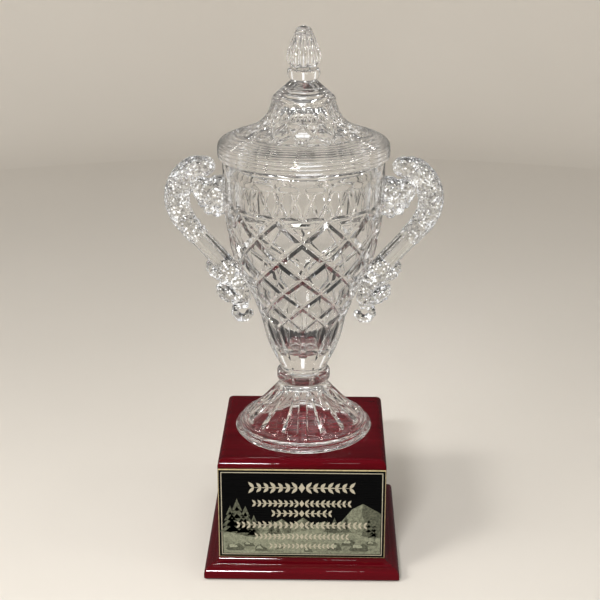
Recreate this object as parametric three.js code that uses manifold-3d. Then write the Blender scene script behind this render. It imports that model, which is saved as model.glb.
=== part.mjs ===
// Covered crystal trophy urn with two scroll handles, standing on a lacquered wooden base
// with a nameplate. Millimetres, +Z up, origin at the middle of the underside, the plate
// faces -Y and the handles point along -X and +X. The lid lifts off along +Z.

import * as THREE from 'three';
import { mergeVertices } from 'three/addons/utils/BufferGeometryUtils.js';
import Module from 'manifold-3d';

const wasm = await Module();
wasm.setup();

// ---- driving dimensions ----
const GAP = 0.3; // clearance between pieces that touch
const COLUMN_SIDE = 110; // square column of the base
const BASE_HEIGHT = 82.3; // wooden base without its felt
const FOOT_SIDE = 129; // square over the foot moulding
const MOULDING_HEIGHT = 12.4;
const FELT_THICKNESS = 1;
const FELT_SIDE = 122;
const BOARD = 12; // thickness of the base's boards
const TOP_ROUNDOVER = 5;
const PLATE_WIDTH = 109.4;
const PLATE_HEIGHT = 63.9;
const PLATE_LIFT = 12.7; // from the moulding's underside to the plate
const PLATE_THICKNESS = 1;
const TAPE_THICKNESS = 0.5;
const TAPE_MARGIN = 4;
const HANDLE_DEPTH = 13; // along Y
const HANDLE_WIDTH = 14.6; // across the arm, in the plane of the handle

// ---- derived places ----
const WOOD_Z = FELT_THICKNESS + GAP; // underside of the wood
const TOP_Z = WOOD_Z + BASE_HEIGHT; // top of the base, where the crystal stands
const HALF_COLUMN = COLUMN_SIDE / 2;
const HALF_FOOT = FOOT_SIDE / 2;

// ---- mesh resolution ----
const BOWL_SIDES = 40;
const FOOT_SIDES = 28;
const FINIAL_SIDES = 20;
const ARM_SIDES = 10;
const ARM_STEPS = 18;

// ---- materials ----
const finish = (color, roughness, metalness = 0) =>
  new THREE.MeshStandardMaterial({ color, roughness, metalness });
const lacquer = finish(0x5a060c, 0.08);
const rawBoard = finish(0x9a7750, 0.8);
const felt = finish(0x15161a, 0.95);
const plateBlack = finish(0x0b0b0c, 0.3, 0.4);
const tapeFoam = finish(0xd8d8d2, 0.9);
const crystal = finish(0xeef2f4, 0.03);
const resin = finish(0xe6ece8, 0.1);

// ---- solids ----

// Merge a geometry's shared corners, keeping only its positions.
function welded(geometry) {
  const plain = geometry.clone();
  plain.deleteAttribute('normal');
  plain.deleteAttribute('uv');
  return mergeVertices(plain, 1e-4);
}

function toManifold(geometry) {
  const closed = welded(geometry);
  return new wasm.Manifold(new wasm.Mesh({
    numProp: 3,
    vertProperties: new Float32Array(closed.attributes.position.array),
    triVerts: new Uint32Array(closed.index.array),
  }));
}

function fromManifold(solid) {
  const { vertProperties, triVerts } = solid.getMesh();
  const geometry = new THREE.BufferGeometry();
  geometry.setAttribute('position', new THREE.BufferAttribute(vertProperties, 3));
  geometry.setIndex(new THREE.BufferAttribute(triVerts, 1));
  geometry.computeVertexNormals();
  return geometry;
}

// Turned solid: [radius, height] pairs about the Z axis.
function turned(profile, sides) {
  const points = profile.map(([r, z]) => new THREE.Vector2(r, z));
  return new THREE.LatheGeometry(points, sides).rotateX(Math.PI / 2);
}

// Square block whose half-width follows [half-width, height] pairs.
function squareBlock(profile) {
  const corners = profile.map(([half, z]) => [half * Math.SQRT2, z]);
  return turned(corners, 4).rotateZ(Math.PI / 4);
}

// Strip along one side of the base, with both ends mitred. Its section is given as
// [distance from the centre line, height] pairs, anticlockwise.
function mitredStrip(section) {
  const shape = new THREE.Shape(section.map(([out, z]) => new THREE.Vector2(out, z)));
  const strip = new THREE.ExtrudeGeometry(shape, { depth: 1, bevelEnabled: false });
  const position = strip.attributes.position;
  for (let i = 0; i < position.count; i += 1) {
    const out = position.getX(i);
    const end = position.getZ(i) > 0.5 ? -1 : 1;
    const halfLength = out - GAP / Math.SQRT2;
    position.setXYZ(i, end * halfLength, -out, position.getY(i));
  }
  return strip;
}

// Points of a quarter of an ellipse, from angle 0 to 90 degrees about its centre.
function quarterArc([cx, cz], [rx, rz], steps) {
  return Array.from({ length: steps + 1 }, (_, i) => {
    const angle = (i / steps) * (Math.PI / 2);
    return [cx + rx * Math.cos(angle), cz + rz * Math.sin(angle)];
  });
}

// ---- wooden base ----

function panelSection() {
  const low = WOOD_Z;
  const high = TOP_Z - BOARD - GAP;
  const inner = HALF_COLUMN - BOARD;
  return [[inner, low], [HALF_COLUMN, low], [HALF_COLUMN, high], [inner, high]];
}

// Foot moulding: upright band, rounded shoulder, small step and a cove up to the column.
function mouldingSection() {
  const back = HALF_COLUMN + GAP;
  const bandTop = 3.4;
  const stepOut = 59.6;
  const stepTop = 8.8;
  const shoulder = quarterArc([stepOut, bandTop], [HALF_FOOT - stepOut, 4.6], 4);
  const cove = quarterArc([stepOut, MOULDING_HEIGHT], [back - stepOut, stepTop - MOULDING_HEIGHT], 4);
  const outline = [
    [back, 0],
    [HALF_FOOT, 0],
    ...shoulder,
    ...cove.reverse(),
  ];
  return outline.map(([out, z]) => [out, z + WOOD_Z]);
}

function topBoard() {
  const low = TOP_Z - BOARD;
  const round = quarterArc(
    [HALF_COLUMN - TOP_ROUNDOVER, TOP_Z - TOP_ROUNDOVER],
    [TOP_ROUNDOVER, TOP_ROUNDOVER],
    4,
  );
  return squareBlock([[0, low], [HALF_COLUMN, low], ...round, [0, TOP_Z]]);
}

function bottomBoard() {
  const half = HALF_COLUMN - BOARD - GAP;
  return squareBlock([[0, WOOD_Z], [half, WOOD_Z], [half, WOOD_Z + BOARD], [0, WOOD_Z + BOARD]]);
}

function feltPad() {
  return new THREE.BoxGeometry(FELT_SIDE, FELT_SIDE, FELT_THICKNESS);
}

// ---- crystal, heights above the top of the base ----
const FOOT_RIM = 46;
const FOOT_SEAT = 38; // inner radius of the ground ring that the foot stands on
const RESIN_THICKNESS = 0.4;
const FOOT_LOW = RESIN_THICKNESS + 2 * GAP;
const KNOP_LOW = 36.7;
const KNOP_HIGH = 43.2;
const KNOP_RADIUS = 17.7;
const BOWL_LOW = KNOP_HIGH + GAP;
const BOWL_RIM = 188.4;
const MOUTH_RADIUS = 47;
const LID_LOW = BOWL_RIM + GAP;
const LIP_RADIUS = MOUTH_RADIUS - 0.8;
const LIP_DEPTH = 5;
const FLANGE_RADIUS = 55.2;
const FINIAL_LOW = 237.8;

// The foot is a hollow bell that stands on its ground rim.
function footProfile() {
  return [
    [0, 25], [9, 24], [14, 20.5], [21, 14.5], [30, 7], [36, 3.2], [FOOT_SEAT, FOOT_LOW],
    [FOOT_RIM - 1, FOOT_LOW], [FOOT_RIM, 2], [FOOT_RIM, 3.5], [43.5, 5], [42.5, 7.3],
    [40, 9.3], [31, 17.5], [23.5, 25], [19, 29.4], [15, 33],
    [15, KNOP_LOW - GAP], [0, KNOP_LOW - GAP],
  ];
}

// Flat ring of clear adhesive between the foot's ground rim and the base.
function resinProfile() {
  const inner = FOOT_SEAT + 1;
  const outer = FOOT_RIM - 1.5;
  const top = GAP + RESIN_THICKNESS;
  return [[inner, GAP], [outer, GAP], [outer, top], [inner, top], [inner, GAP]];
}

function knopProfile() {
  return [
    [0, KNOP_LOW], [KNOP_RADIUS - 1, KNOP_LOW], [KNOP_RADIUS, KNOP_LOW + 1.5],
    [KNOP_RADIUS, KNOP_HIGH - 1.5], [KNOP_RADIUS - 1, KNOP_HIGH], [0, KNOP_HIGH],
  ];
}

function bowlOuter() {
  return [
    [15.5, BOWL_LOW], [16.2, 47], [21.9, 59.2], [25.9, 69.9], [27.5, 79.9], [32.8, 94.2],
    [39.7, 108.6], [45.8, 122.4], [48.6, 136.4], [51, 150.3], [52.2, 175], [52.2, BOWL_RIM - 1],
    [51.2, BOWL_RIM],
  ];
}

function bowlInner() {
  return [
    [MOUTH_RADIUS + 1, BOWL_RIM], [MOUTH_RADIUS, BOWL_RIM - 1], [46.4, 164], [45.2, 150],
    [42.8, 136], [39, 122], [33, 108], [26, 92], [21, 78], [18, 68], [12, 60], [0, 57],
  ];
}

function lidProfile() {
  const lipBottom = LID_LOW - LIP_DEPTH;
  return [
    [0, 219], [11, 217], [15, 209], [22, 203], [34, 199], [40, 194], [42.5, 189],
    [42.5, lipBottom], [LIP_RADIUS, lipBottom], [LIP_RADIUS, LID_LOW],
    [FLANGE_RADIUS - 1, LID_LOW], [FLANGE_RADIUS, LID_LOW + 1], [FLANGE_RADIUS, 195],
    [54.6, 198], [53.4, 199.4], [51, 200.7], [46, 202.6], [40, 204.6], [35, 206.4],
    [30.5, 208.8], [27, 211.6], [24.4, 214.8], [22.6, 218.4], [21.2, 222.4], [19.7, 227.2],
    [16.6, 230.4], [12.8, 234], [8.4, FINIAL_LOW - GAP], [0, FINIAL_LOW - GAP],
  ];
}

function finialProfile() {
  return [
    [0, FINIAL_LOW], [8.2, FINIAL_LOW], [9.6, 239.8], [10.4, 241.8], [10.4, 243.9], [9.2, 245.6],
    [8.8, 246.6], [9.4, 248], [10.6, 249.8], [11, 251.9], [10.6, 254.3], [9.2, 258.4],
    [7.1, 263.6], [5.2, 268], [2.1, 271.1], [0, 271.9],
  ];
}

// Arm of the scroll handle: its middle line from the blunt upper end, out and round,
// and down into the side of the bowl, as [x, height].
const ARM_ROUTE = [
  [59.6, 181.9], [70.3, 180.4], [76.4, 175.2], [81.4, 166], [82.2, 157.8],
  [79.2, 148.8], [72.4, 139.6], [64.3, 130.5], [55.4, 121], [46, 111],
];

// Rounded masses fused to the arm: centre [x, height], half-length along the mass,
// half-width across it, half-depth along Y and the tilt of the length in degrees.
const ROOT_LEAF = [
  { at: [57, 162.5], size: [13.6, 13, 5.6], tilt: 70 },
  { at: [63, 162], size: [8.2, 7.6, 5], tilt: 40 },
  { at: [64.5, 171], size: [9, 6, 5], tilt: 50 },
];
const LOWER_LEAVES = [
  { at: [54.5, 112], size: [11.5, 8.2, 6], tilt: 30 },
  { at: [49.5, 98.5], size: [10.5, 8, 5.6], tilt: 25 },
  { at: [41.5, 81.5], size: [7.8, 6.6, 5], tilt: 60 },
  { at: [43, 103], size: [18, 6.5, 5.6], tilt: 60 },
  { at: [37, 90], size: [12, 5, 5], tilt: 65 },
];

function armTube() {
  const section = new THREE.Shape();
  section.absellipse(0, 0, HANDLE_DEPTH / 2, HANDLE_WIDTH / 2, 0, Math.PI * 2);
  const outline = new THREE.Shape(section.getSpacedPoints(ARM_SIDES).slice(0, ARM_SIDES));
  const route = ARM_ROUTE.map(([x, z]) => new THREE.Vector3(x, 0, z));
  return new THREE.ExtrudeGeometry(outline, {
    steps: ARM_STEPS,
    extrudePath: new THREE.CatmullRomCurve3(route),
  });
}

function mass({ at: [x, z], size: [long, wide, deep], tilt }) {
  const ball = new THREE.SphereGeometry(1, 12, 7);
  ball.scale(long, deep, wide);
  ball.rotateY(-THREE.MathUtils.degToRad(tilt));
  return ball.translate(x, 0, z);
}

// The right-hand handle, trimmed to the outside of the bowl with a small clearance.
function handleSolid() {
  const reach = bowlOuter().map(([r, z]) => [r + GAP + 0.1, z]);
  const bowlSpace = turned([[0, BOWL_LOW], ...reach, [0, BOWL_RIM]], BOWL_SIDES);
  return [...ROOT_LEAF, ...LOWER_LEAVES]
    .reduce((solid, leaf) => solid.add(toManifold(mass(leaf))), toManifold(armTube()))
    .subtract(toManifold(bowlSpace));
}

// ---- assembly ----

const award = new THREE.Group();
const base = new THREE.Group();
const cup = new THREE.Group();
const lid = new THREE.Group();
cup.position.z = TOP_Z;
lid.position.z = TOP_Z;
award.add(base, cup, lid);

function place(group, name, geometry, material) {
  const mesh = new THREE.Mesh(geometry, material);
  mesh.name = name;
  group.add(mesh);
  return mesh;
}

place(base, 'felt_pad', feltPad(), felt).position.z = FELT_THICKNESS / 2;
place(base, 'bottom_board', bottomBoard(), rawBoard);
place(base, 'top_board', topBoard(), lacquer);

['front', 'right', 'back', 'left'].forEach((side, i) => {
  const turn = (i * Math.PI) / 2;
  place(base, `panel_${side}`, mitredStrip(panelSection()), lacquer).rotation.z = turn;
  place(base, `moulding_${side}`, mitredStrip(mouldingSection()), lacquer).rotation.z = turn;
});

const plateMiddle = WOOD_Z + PLATE_LIFT + PLATE_HEIGHT / 2;
const tapeY = -(HALF_COLUMN + GAP + TAPE_THICKNESS / 2);
const plateY = tapeY - TAPE_THICKNESS / 2 - GAP - PLATE_THICKNESS / 2;
const tapeSize = [PLATE_WIDTH - 2 * TAPE_MARGIN, TAPE_THICKNESS, PLATE_HEIGHT - 2 * TAPE_MARGIN];
place(base, 'plate_tape', new THREE.BoxGeometry(...tapeSize), tapeFoam)
  .position.set(0, tapeY, plateMiddle);
place(base, 'nameplate', new THREE.BoxGeometry(PLATE_WIDTH, PLATE_THICKNESS, PLATE_HEIGHT), plateBlack)
  .position.set(0, plateY, plateMiddle);

place(cup, 'foot_adhesive', turned(resinProfile(), FOOT_SIDES), resin);
place(cup, 'crystal_foot', turned(footProfile(), FOOT_SIDES), crystal);
place(cup, 'stem_knop', turned(knopProfile(), FOOT_SIDES), crystal);
place(cup, 'crystal_bowl', turned([[0, BOWL_LOW], ...bowlOuter(), ...bowlInner()], BOWL_SIDES), crystal);

const handle = handleSolid();
place(cup, 'handle_right', fromManifold(handle), crystal);
place(cup, 'handle_left', fromManifold(handle.rotate([0, 0, 180])), crystal);

place(lid, 'lid_dome', turned(lidProfile(), BOWL_SIDES), crystal);
place(lid, 'lid_finial', turned(finialProfile(), FINIAL_SIDES), crystal);

export default award;
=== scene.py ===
"""Looks for the covered crystal award: cut crystal urn, lacquered wooden base, engraved plate."""

import math

import bmesh
import bpy
import numpy as np
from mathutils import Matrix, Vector, noise


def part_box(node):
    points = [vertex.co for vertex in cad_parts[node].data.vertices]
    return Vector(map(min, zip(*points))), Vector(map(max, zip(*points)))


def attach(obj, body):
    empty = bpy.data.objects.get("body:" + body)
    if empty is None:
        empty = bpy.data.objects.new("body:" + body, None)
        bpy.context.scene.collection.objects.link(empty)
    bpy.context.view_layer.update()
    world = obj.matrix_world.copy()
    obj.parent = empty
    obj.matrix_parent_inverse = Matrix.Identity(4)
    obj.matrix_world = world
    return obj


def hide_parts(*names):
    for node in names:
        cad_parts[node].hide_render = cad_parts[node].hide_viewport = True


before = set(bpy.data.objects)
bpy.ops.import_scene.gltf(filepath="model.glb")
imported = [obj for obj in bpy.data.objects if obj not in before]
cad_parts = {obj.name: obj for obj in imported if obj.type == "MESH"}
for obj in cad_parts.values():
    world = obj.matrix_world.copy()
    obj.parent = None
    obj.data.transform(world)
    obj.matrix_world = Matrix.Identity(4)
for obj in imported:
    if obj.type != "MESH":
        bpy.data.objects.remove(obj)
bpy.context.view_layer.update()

# ---------------------------------------------------------------- the frame's sizes, in millimetres
MM = 0.001


def low(node):
    return np.array(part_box(node)[0]) / MM


def high(node):
    return np.array(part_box(node)[1]) / MM


BASE_TOP = high("top_board")[2]
BASE_LOW = low("bottom_board")[2]
HALF_COLUMN = high("top_board")[0]
HALF_FOOT = -low("moulding_front")[1]
BOARD_LOW = low("top_board")[2]
MOULDING_TOP = high("moulding_front")[2]
PLATE_LOW = low("nameplate")
PLATE_HIGH = high("nameplate")

# ---------------------------------------------------------------- shape helpers


def smooth(points, at):
    """Smooth curve through (x, y) points, read at the x values given."""
    x, y = np.array(points, float).T
    slope = np.gradient(y, x)
    at = np.asarray(at, float)
    i = np.clip(np.searchsorted(x, at) - 1, 0, len(x) - 2)
    h = x[i + 1] - x[i]
    t = np.clip((at - x[i]) / h, 0, 1)
    rise = y[i] * (2 * t**3 - 3 * t**2 + 1) + y[i + 1] * (3 * t**2 - 2 * t**3)
    bend = slope[i] * (t**3 - 2 * t**2 + t) + slope[i + 1] * (t**3 - t**2)
    return rise + h * bend


def ease(value, start, end):
    """0 at start, 1 at end, with soft shoulders."""
    t = np.clip((np.asarray(value, float) - start) / (end - start), 0, 1)
    return t * t * (3 - 2 * t)


def band(value, start, full, fade, end):
    """1 from full to fade and 0 outside start and end, with soft shoulders."""
    return ease(value, start, full) * (1 - ease(value, fade, end))


def arc(centre, radii, start, end, steps):
    """Points of an elliptic arc between two angles in degrees."""
    angles = np.radians(np.linspace(start, end, steps + 1))
    return [(centre[0] + radii[0] * math.cos(a), centre[1] + radii[1] * math.sin(a)) for a in angles]


def travelled(points):
    """Distance walked along a line when each of its points is reached, by its first two coordinates."""
    return np.concatenate([[0], np.cumsum(np.hypot(*np.diff(points[:, :2], axis=0).T))])


def new_object(name, vertices, faces, smooth_angle=None):
    """A mesh object from vertices in millimetres. Edges flatter than smooth_angle are shaded smooth."""
    mesh = bpy.data.meshes.new(name)
    mesh.from_pydata([tuple(v) for v in np.asarray(vertices, float) * MM], [], faces)
    mesh.update()
    if smooth_angle is not None:
        mesh.shade_smooth()
        mesh.set_sharp_from_angle(angle=math.radians(smooth_angle))
    piece = bpy.data.objects.new(name, mesh)
    bpy.context.scene.collection.objects.link(piece)
    return piece


def finish_piece(piece, body, slot, material, *nodes):
    """Give a piece its material, let it ride on its body and stand for its CAD nodes. slot is not used."""
    piece.data.materials.append(material)
    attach(piece, body)
    if nodes:
        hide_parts(*nodes)
    return piece


# How a cell between two loops is filled: whole, or as two triangles along either diagonal.
SPLITS = ([(0, 1, 2, 3)], [(0, 1, 2), (0, 2, 3)], [(0, 1, 3), (1, 2, 3)])


def loft(name, loops, smooth_angle=None, split=None, closed=False):
    """Skin loops of points. The first and last loops are capped, or shrink to a pole if they have
    one point. split says, for each cell, which of SPLITS fills it."""
    sizes = [len(loop) for loop in loops]
    starts = np.cumsum([0] + sizes)
    count = max(sizes)
    faces = []
    for j in range(len(loops) if closed else len(loops) - 1):
        following = (j + 1) % len(loops)
        a, b = starts[j], starts[following]
        for k in range(count):
            k2 = (k + 1) % count
            if sizes[j] == 1:
                faces.append((a, b + k2, b + k))
            elif sizes[following] == 1:
                faces.append((a + k, a + k2, b))
            else:
                corners = (a + k, a + k2, b + k2, b + k)
                filling = SPLITS[0 if split is None else int(split[j][k])]
                faces += [tuple(corners[i] for i in face) for face in filling]
    if not closed and sizes[0] > 1:
        faces.append(tuple(range(count - 1, -1, -1)))
    if not closed and sizes[-1] > 1:
        faces.append(tuple(range(starts[-2], starts[-1])))
    return new_object(name, np.concatenate(loops), faces, smooth_angle)


def tubes(all_loops):
    """Vertices and faces of closed tubes, each a list of loops that have equally many points."""
    vertices, faces = [], []
    for loops in all_loops:
        start = len(vertices)
        count = len(loops[0])
        for loop in loops:
            vertices += list(loop)
        for a in range(start, len(vertices) - count, count):
            b = a + count
            faces += [(a + k, a + (k + 1) % count, b + (k + 1) % count, b + k) for k in range(count)]
        faces.append(tuple(range(start + count - 1, start - 1, -1)))
        faces.append(tuple(range(len(vertices) - count, len(vertices))))
    return vertices, faces


# ---------------------------------------------------------------- turned and cut crystal
COLUMNS = 280  # shared by the ten-fold, fourteen-fold and twenty-fold cuts
TURN = np.arange(COLUMNS) / COLUMNS  # 0 faces the plate side, growing towards +X
DIAMONDS = 10
FLUTES = 20
RIBS = 14
PLAIN = np.zeros(COLUMNS)  # split of a row of cells that are all left whole


def ring(radius, height):
    """A loop of points at a radius and height, each a number or one value per column."""
    angle = TURN * 2 * math.pi
    radius = np.broadcast_to(np.asarray(radius, float), (COLUMNS,))
    height = np.broadcast_to(np.asarray(height, float), (COLUMNS,))
    return np.stack([radius * np.sin(angle), -radius * np.cos(angle), height + BASE_TOP], 1)


def pole(height):
    return np.array([[0, 0, height + BASE_TOP]])


def plain_rings(profile):
    return [ring(radius, height) for radius, height in profile]


def wave(folds):
    """Place of each column within its repeat: 0 on the repeat's line, 1 or -1 half way between."""
    place = TURN * folds
    return (place - np.round(place)) * 2


# Diamond lattice. Rows are numbered upwards; lines cross at whole numbers of row + half-pitch.
HALF_PITCH = COLUMNS // (2 * DIAMONDS)
ROW_HEIGHTS = [(0, 78.7), (1, 88.0), (2, 97.7), (3, 108.0), (4, 119.3), (5, 131.8), (6, 145.4),
               (7, 159.8)]
VALLEY = 1 / (2 * HALF_PITCH)  # half-width of the narrow floor of a cut
SHOULDER = 4 / (2 * HALF_PITCH)  # half-width of the whole cut
CUT_DEPTH = 2.2  # where the bowl is 50 mm in radius
LEDGE_SHARE = 0.6  # depth of the cut that rings the lattice's top, as a share of CUT_DEPTH
LATTICE_LOW = ROW_HEIGHTS[0][1]
LATTICE_HIGH = ROW_HEIGHTS[-1][1]
FLUTE_HIGH = 181.9
FLUTE_DEPTH = 1.0  # flutes are flat panels between crisp ridges
OVAL_MIDDLE = 70.5  # hollow ovals stand below the lattice
OVAL_HALF_HEIGHT = 15.5
OVAL_HALF_WIDTH = 0.86  # as a share of half a repeat
OVAL_DEPTH = 2.5
STEM_HIGH = 45.4  # where the bowl's outside starts, above the knop

BOWL_OUTER = [
    (43.4, 15.6), (46.4, 15.9), (51.4, 18.2), (59.2, 21.9), (69.9, 25.9), (79.9, 28.0), (94.2, 33.2),
    (108.6, 40.0), (122.4, 45.8), (136.4, 48.9), (150.3, 51.1), (163.9, 51.9), (175, 52.2), (190, 52.2),
]


def lattice_distance(turns, row, folds):
    """Distance to the nearest line of the lattice, in pitches, and whether that line is a rising one."""
    place = turns * 2 * folds
    falling = (place + row) / 2
    rising = (place - row) / 2
    to_falling = np.abs(falling - np.round(falling))
    to_rising = np.abs(rising - np.round(rising))
    return np.minimum(to_falling, to_rising), to_rising < to_falling


def lattice_split(row, steps, folds):
    """Split of the cells above a row, of which there are steps to the next crossing of the lines, so
    that their diagonals follow the nearest line."""
    _, rising = lattice_distance(TURN + 0.5 / COLUMNS, row + 0.5 / steps, folds)
    return np.where(rising, 1, 2)


def cut_shape(distance):
    """Depth of a cut, 1 at the bottom of its valley and 0 at its shoulder, with a low crown beyond."""
    return np.interp(distance, [0, VALLEY, SHOULDER, 0.5], [1, 0.93, 0, -0.2])


def hollow(across, power):
    """Depth of a hollow with soft sides, 1 in its middle and 0 from a distance of 1."""
    return np.clip(1 - across**2, 0, 1) ** power


def bowl_radius(height, row=None):
    """Outer radius of the bowl all round at one height, with its ovals, diamonds and flutes cut."""
    radius = smooth(BOWL_OUTER, height)
    cut = np.zeros(COLUMNS)
    if row is not None:
        depth = CUT_DEPTH * radius / 50
        distance, _ = lattice_distance(TURN, row, DIAMONDS)
        ledge = (ROW_HEIGHTS[-1][0] - row) / 2
        cut = depth * np.maximum(cut_shape(distance), LEDGE_SHARE * cut_shape(ledge))
        point = depth * np.interp(distance, [0, VALLEY, SHOULDER / 2], [1, 0.93, 0])
        cut = np.where((row < 1) & (np.abs(wave(DIAMONDS)) > row), point, cut)
    across = (np.abs(wave(DIAMONDS)) - 1) / OVAL_HALF_WIDTH
    along = (height - OVAL_MIDDLE) / OVAL_HALF_HEIGHT
    cut = np.maximum(cut, OVAL_DEPTH * hollow(np.hypot(across, along), 0.7))
    if height > LATTICE_HIGH:
        lane = 1 - np.abs(wave(FLUTES))
        ends = band(height, LATTICE_HIGH + 0.7, LATTICE_HIGH + 1.9, FLUTE_HIGH - 5, FLUTE_HIGH)
        cut = np.maximum(cut, FLUTE_DEPTH * ends * (1 - lane**2))
    return radius - cut


def bowl_rings():
    """Loops of the bowl's outside from its stem to its rim, with the split of each cell."""
    rings, splits = [], []

    def add(height, row=None, split=PLAIN):
        rings.append(ring(bowl_radius(height, row), height))
        splits.append(split)

    for height in np.linspace(STEM_HIGH, LATTICE_LOW, 42)[:-1]:
        add(height)
    steps = HALF_PITCH * ROW_HEIGHTS[-1][0]
    for j in range(steps + 1):
        row = j / HALF_PITCH
        split = lattice_split(row, HALF_PITCH, DIAMONDS) if j < steps else PLAIN
        add(float(smooth(ROW_HEIGHTS, row)), row, split)
    for height in np.linspace(LATTICE_HIGH, FLUTE_HIGH + 0.6, 34)[1:]:
        add(height)
    return rings, splits


RIM = [(52.25, 183.6), (52.35, 185.6), (52.25, 187.2), (51.8, 188.0), (51.0, 188.35), (49.0, 188.4),
       (47.8, 188.2), (47.2, 187.6)]
BOWL_INNER = [(47.0, 186.0), (46.8, 180), (46.7, 172), (46.4, 164), (45.9, 157), (45.2, 150),
              (44.2, 143), (42.8, 136), (41.1, 129), (39, 122), (36.1, 115), (33, 108), (29.5, 100),
              (27, 92), (24.8, 85), (22.6, 78), (21, 73), (19.2, 68), (17.2, 63.6), (15.2, 60.2),
              (13, 58.2), (9, 57.1), (4, 56.7)]
BOWL_FLOOR = 56.6

# Foot: a hollow bell on a ground rim, with ribs between sunken panels.
FOOT_ROOF = 29.7
FOOT_UNDER = [(3, 29.6), (7, 29.2), (10.5, 27.6), (14, 24.6), (18.5, 20), (24, 15.2), (29, 11.2), (33, 8.0),
              (36, 5.7), (39, 3.5), (41.2, 1.7), (42.2, 0.75)]
FOOT_EDGE = [(44.6, 0.75), (45.5, 1.1), (46.0, 1.9), (46.1, 2.6), (45.8, 3.3), (45.0, 3.8), (43.6, 3.9),
             (42.9, 4.1), (42.7, 4.6), (43.0, 5.1), (43.3, 5.9), (43.0, 6.9), (42.3, 7.6), (41.6, 7.7),
             (41.1, 7.3), (40.8, 7.2), (40.5, 7.5)]
FOOT_FLANK = [(8.2, 40.1), (9.3, 39.2), (12.3, 35.9), (16.9, 31), (20.9, 27), (24.7, 23.5), (28, 20.5),
              (30.8, 18), (33.2, 16.2), (35.2, 15.3), (36.4, 15.2)]
KNOP = [(15.5, 36.45), (16.8, 36.5), (17.4, 36.8), (17.7, 37.5), (17.75, 39.6), (17.7, 41.6), (17.5, 42.3),
        (16.9, 42.9), (15.6, 43.2), (14.8, 43.6), (14.9, 44.3), (15.5, 44.9)]
PANEL_IN = 17.2  # radii of the ends of the foot's panels
PANEL_OUT = 39.4
FLANK_SHARE = 0.72  # the flank lies at about 45 degrees, so a cut moves in and down by this share


def arch(across):
    """How far a round end falls back at each place across it: 0 in the middle, 1 at its sides."""
    return 1 - np.sqrt(np.clip(1 - across**2, 0, 1))


def foot_rings():
    """Loops of the ribbed flank. The panels lie between the ribs and have round ends."""
    rings = []
    off_rib = np.abs(wave(RIBS))
    for height in np.linspace(FOOT_FLANK[0][0], FOOT_FLANK[-1][0], 56):
        radius = float(smooth(FOOT_FLANK, height))
        rib = np.interp(radius, [17, 39], [0.46, 0.30])
        side = ease(off_rib, rib, rib + 0.16)
        back = arch(np.clip((1 - off_rib) / (1 - rib), 0, 1))
        start = PANEL_IN + 2.4 * back
        end = PANEL_OUT - 2.6 * back
        depth = np.interp(radius, [17, 26, 39], [1.3, 1.9, 2.0])
        sink = FLANK_SHARE * depth * side * band(radius, start, start + 1.6, end - 1.2, end)
        rings.append(ring(radius - sink, height - sink))
    return rings


def build_urn():
    """Foot, knop and bowl: fused glass, so one clear body."""
    bowl, splits = bowl_rings()
    start = [pole(FOOT_ROOF)] + plain_rings(FOOT_UNDER + FOOT_EDGE) + foot_rings() + plain_rings(KNOP)
    end = plain_rings(RIM + BOWL_INNER) + [pole(BOWL_FLOOR)]
    split = [PLAIN] * len(start) + splits + [PLAIN] * len(end)
    return loft("crystal_urn", start + bowl + end, 24, split)


# Lid: locating lip, ringed flange, low dome, cut flare and fluted bell, then the knob.
LID_ROOF = 222
LID_UNDER = [(5, 221.6), (9, 220.6), (12.2, 218.0), (14.4, 214), (17.0, 209.6), (20.4, 206), (25, 203.2),
             (30, 201.2), (35, 199.2), (39.0, 196.4), (41.4, 192.8), (42.4, 189), (42.6, 186), (42.9, 184.4),
             (43.8, 183.8), (45.2, 183.9), (46.0, 184.6), (46.2, 186), (46.2, 188.3), (46.5, 188.75)]
LID_EDGE = [(53.6, 188.75), (54.4, 188.85), (54.9, 189.3)]
LID_SHELL = [(55.1, 189.6), (55.3, 191.5), (55.25, 195), (54.6, 198), (53.4, 199.4), (51, 200.7),
             (46, 202.6), (40.6, 204.3)]
REED_PITCH = 2.35  # the shell is ringed with fine reeds
REED_DEPTH = 0.17
LID_TOP = [(19.75, 227.0), (19.3, 227.7), (18.4, 228.5), (17.9, 228.7), (17.5, 229.4), (16.6, 230.2),
           (16.1, 230.4), (15.6, 231.1), (14.6, 232.0), (14.1, 232.2), (13.6, 232.9), (12.5, 233.9),
           (12.0, 234.1), (11.4, 234.8), (10.0, 236.2), (8.7, 237.2)]
COLLAR = [(8.4, 237.8), (8.9, 238.6), (9.8, 239.9), (10.3, 241.2), (10.45, 242.6), (10.3, 243.9),
          (9.9, 244.6), (9.2, 245.2), (8.5, 245.8), (8.2, 246.4)]
BUD = [(246.9, 8.2), (247.6, 8.7), (248.6, 9.9), (250.0, 11.0), (251.9, 11.5), (254.3, 11.1),
       (258.4, 9.7), (263.6, 7.4), (266.4, 6.2), (268.0, 5.3)]  # (height, radius)
BUD_TIP = [(5.25, 268.6), (4.9, 269.3), (4.1, 270.2), (3.0, 270.9), (1.6, 271.4)]
KNOB_TOP = 271.8
FLARE = [(0, 39.6, 204.9), (1, 31.0, 208.6), (2, 25.1, 213.8)]  # (row, radius, height)
FLARE_CUT = 0.9  # depth where the flare is 36 mm in radius
BELL = [(213.8, 25.1), (215.6, 24.0), (218.4, 22.6), (222.4, 21.2), (226.6, 20.0)]


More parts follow.
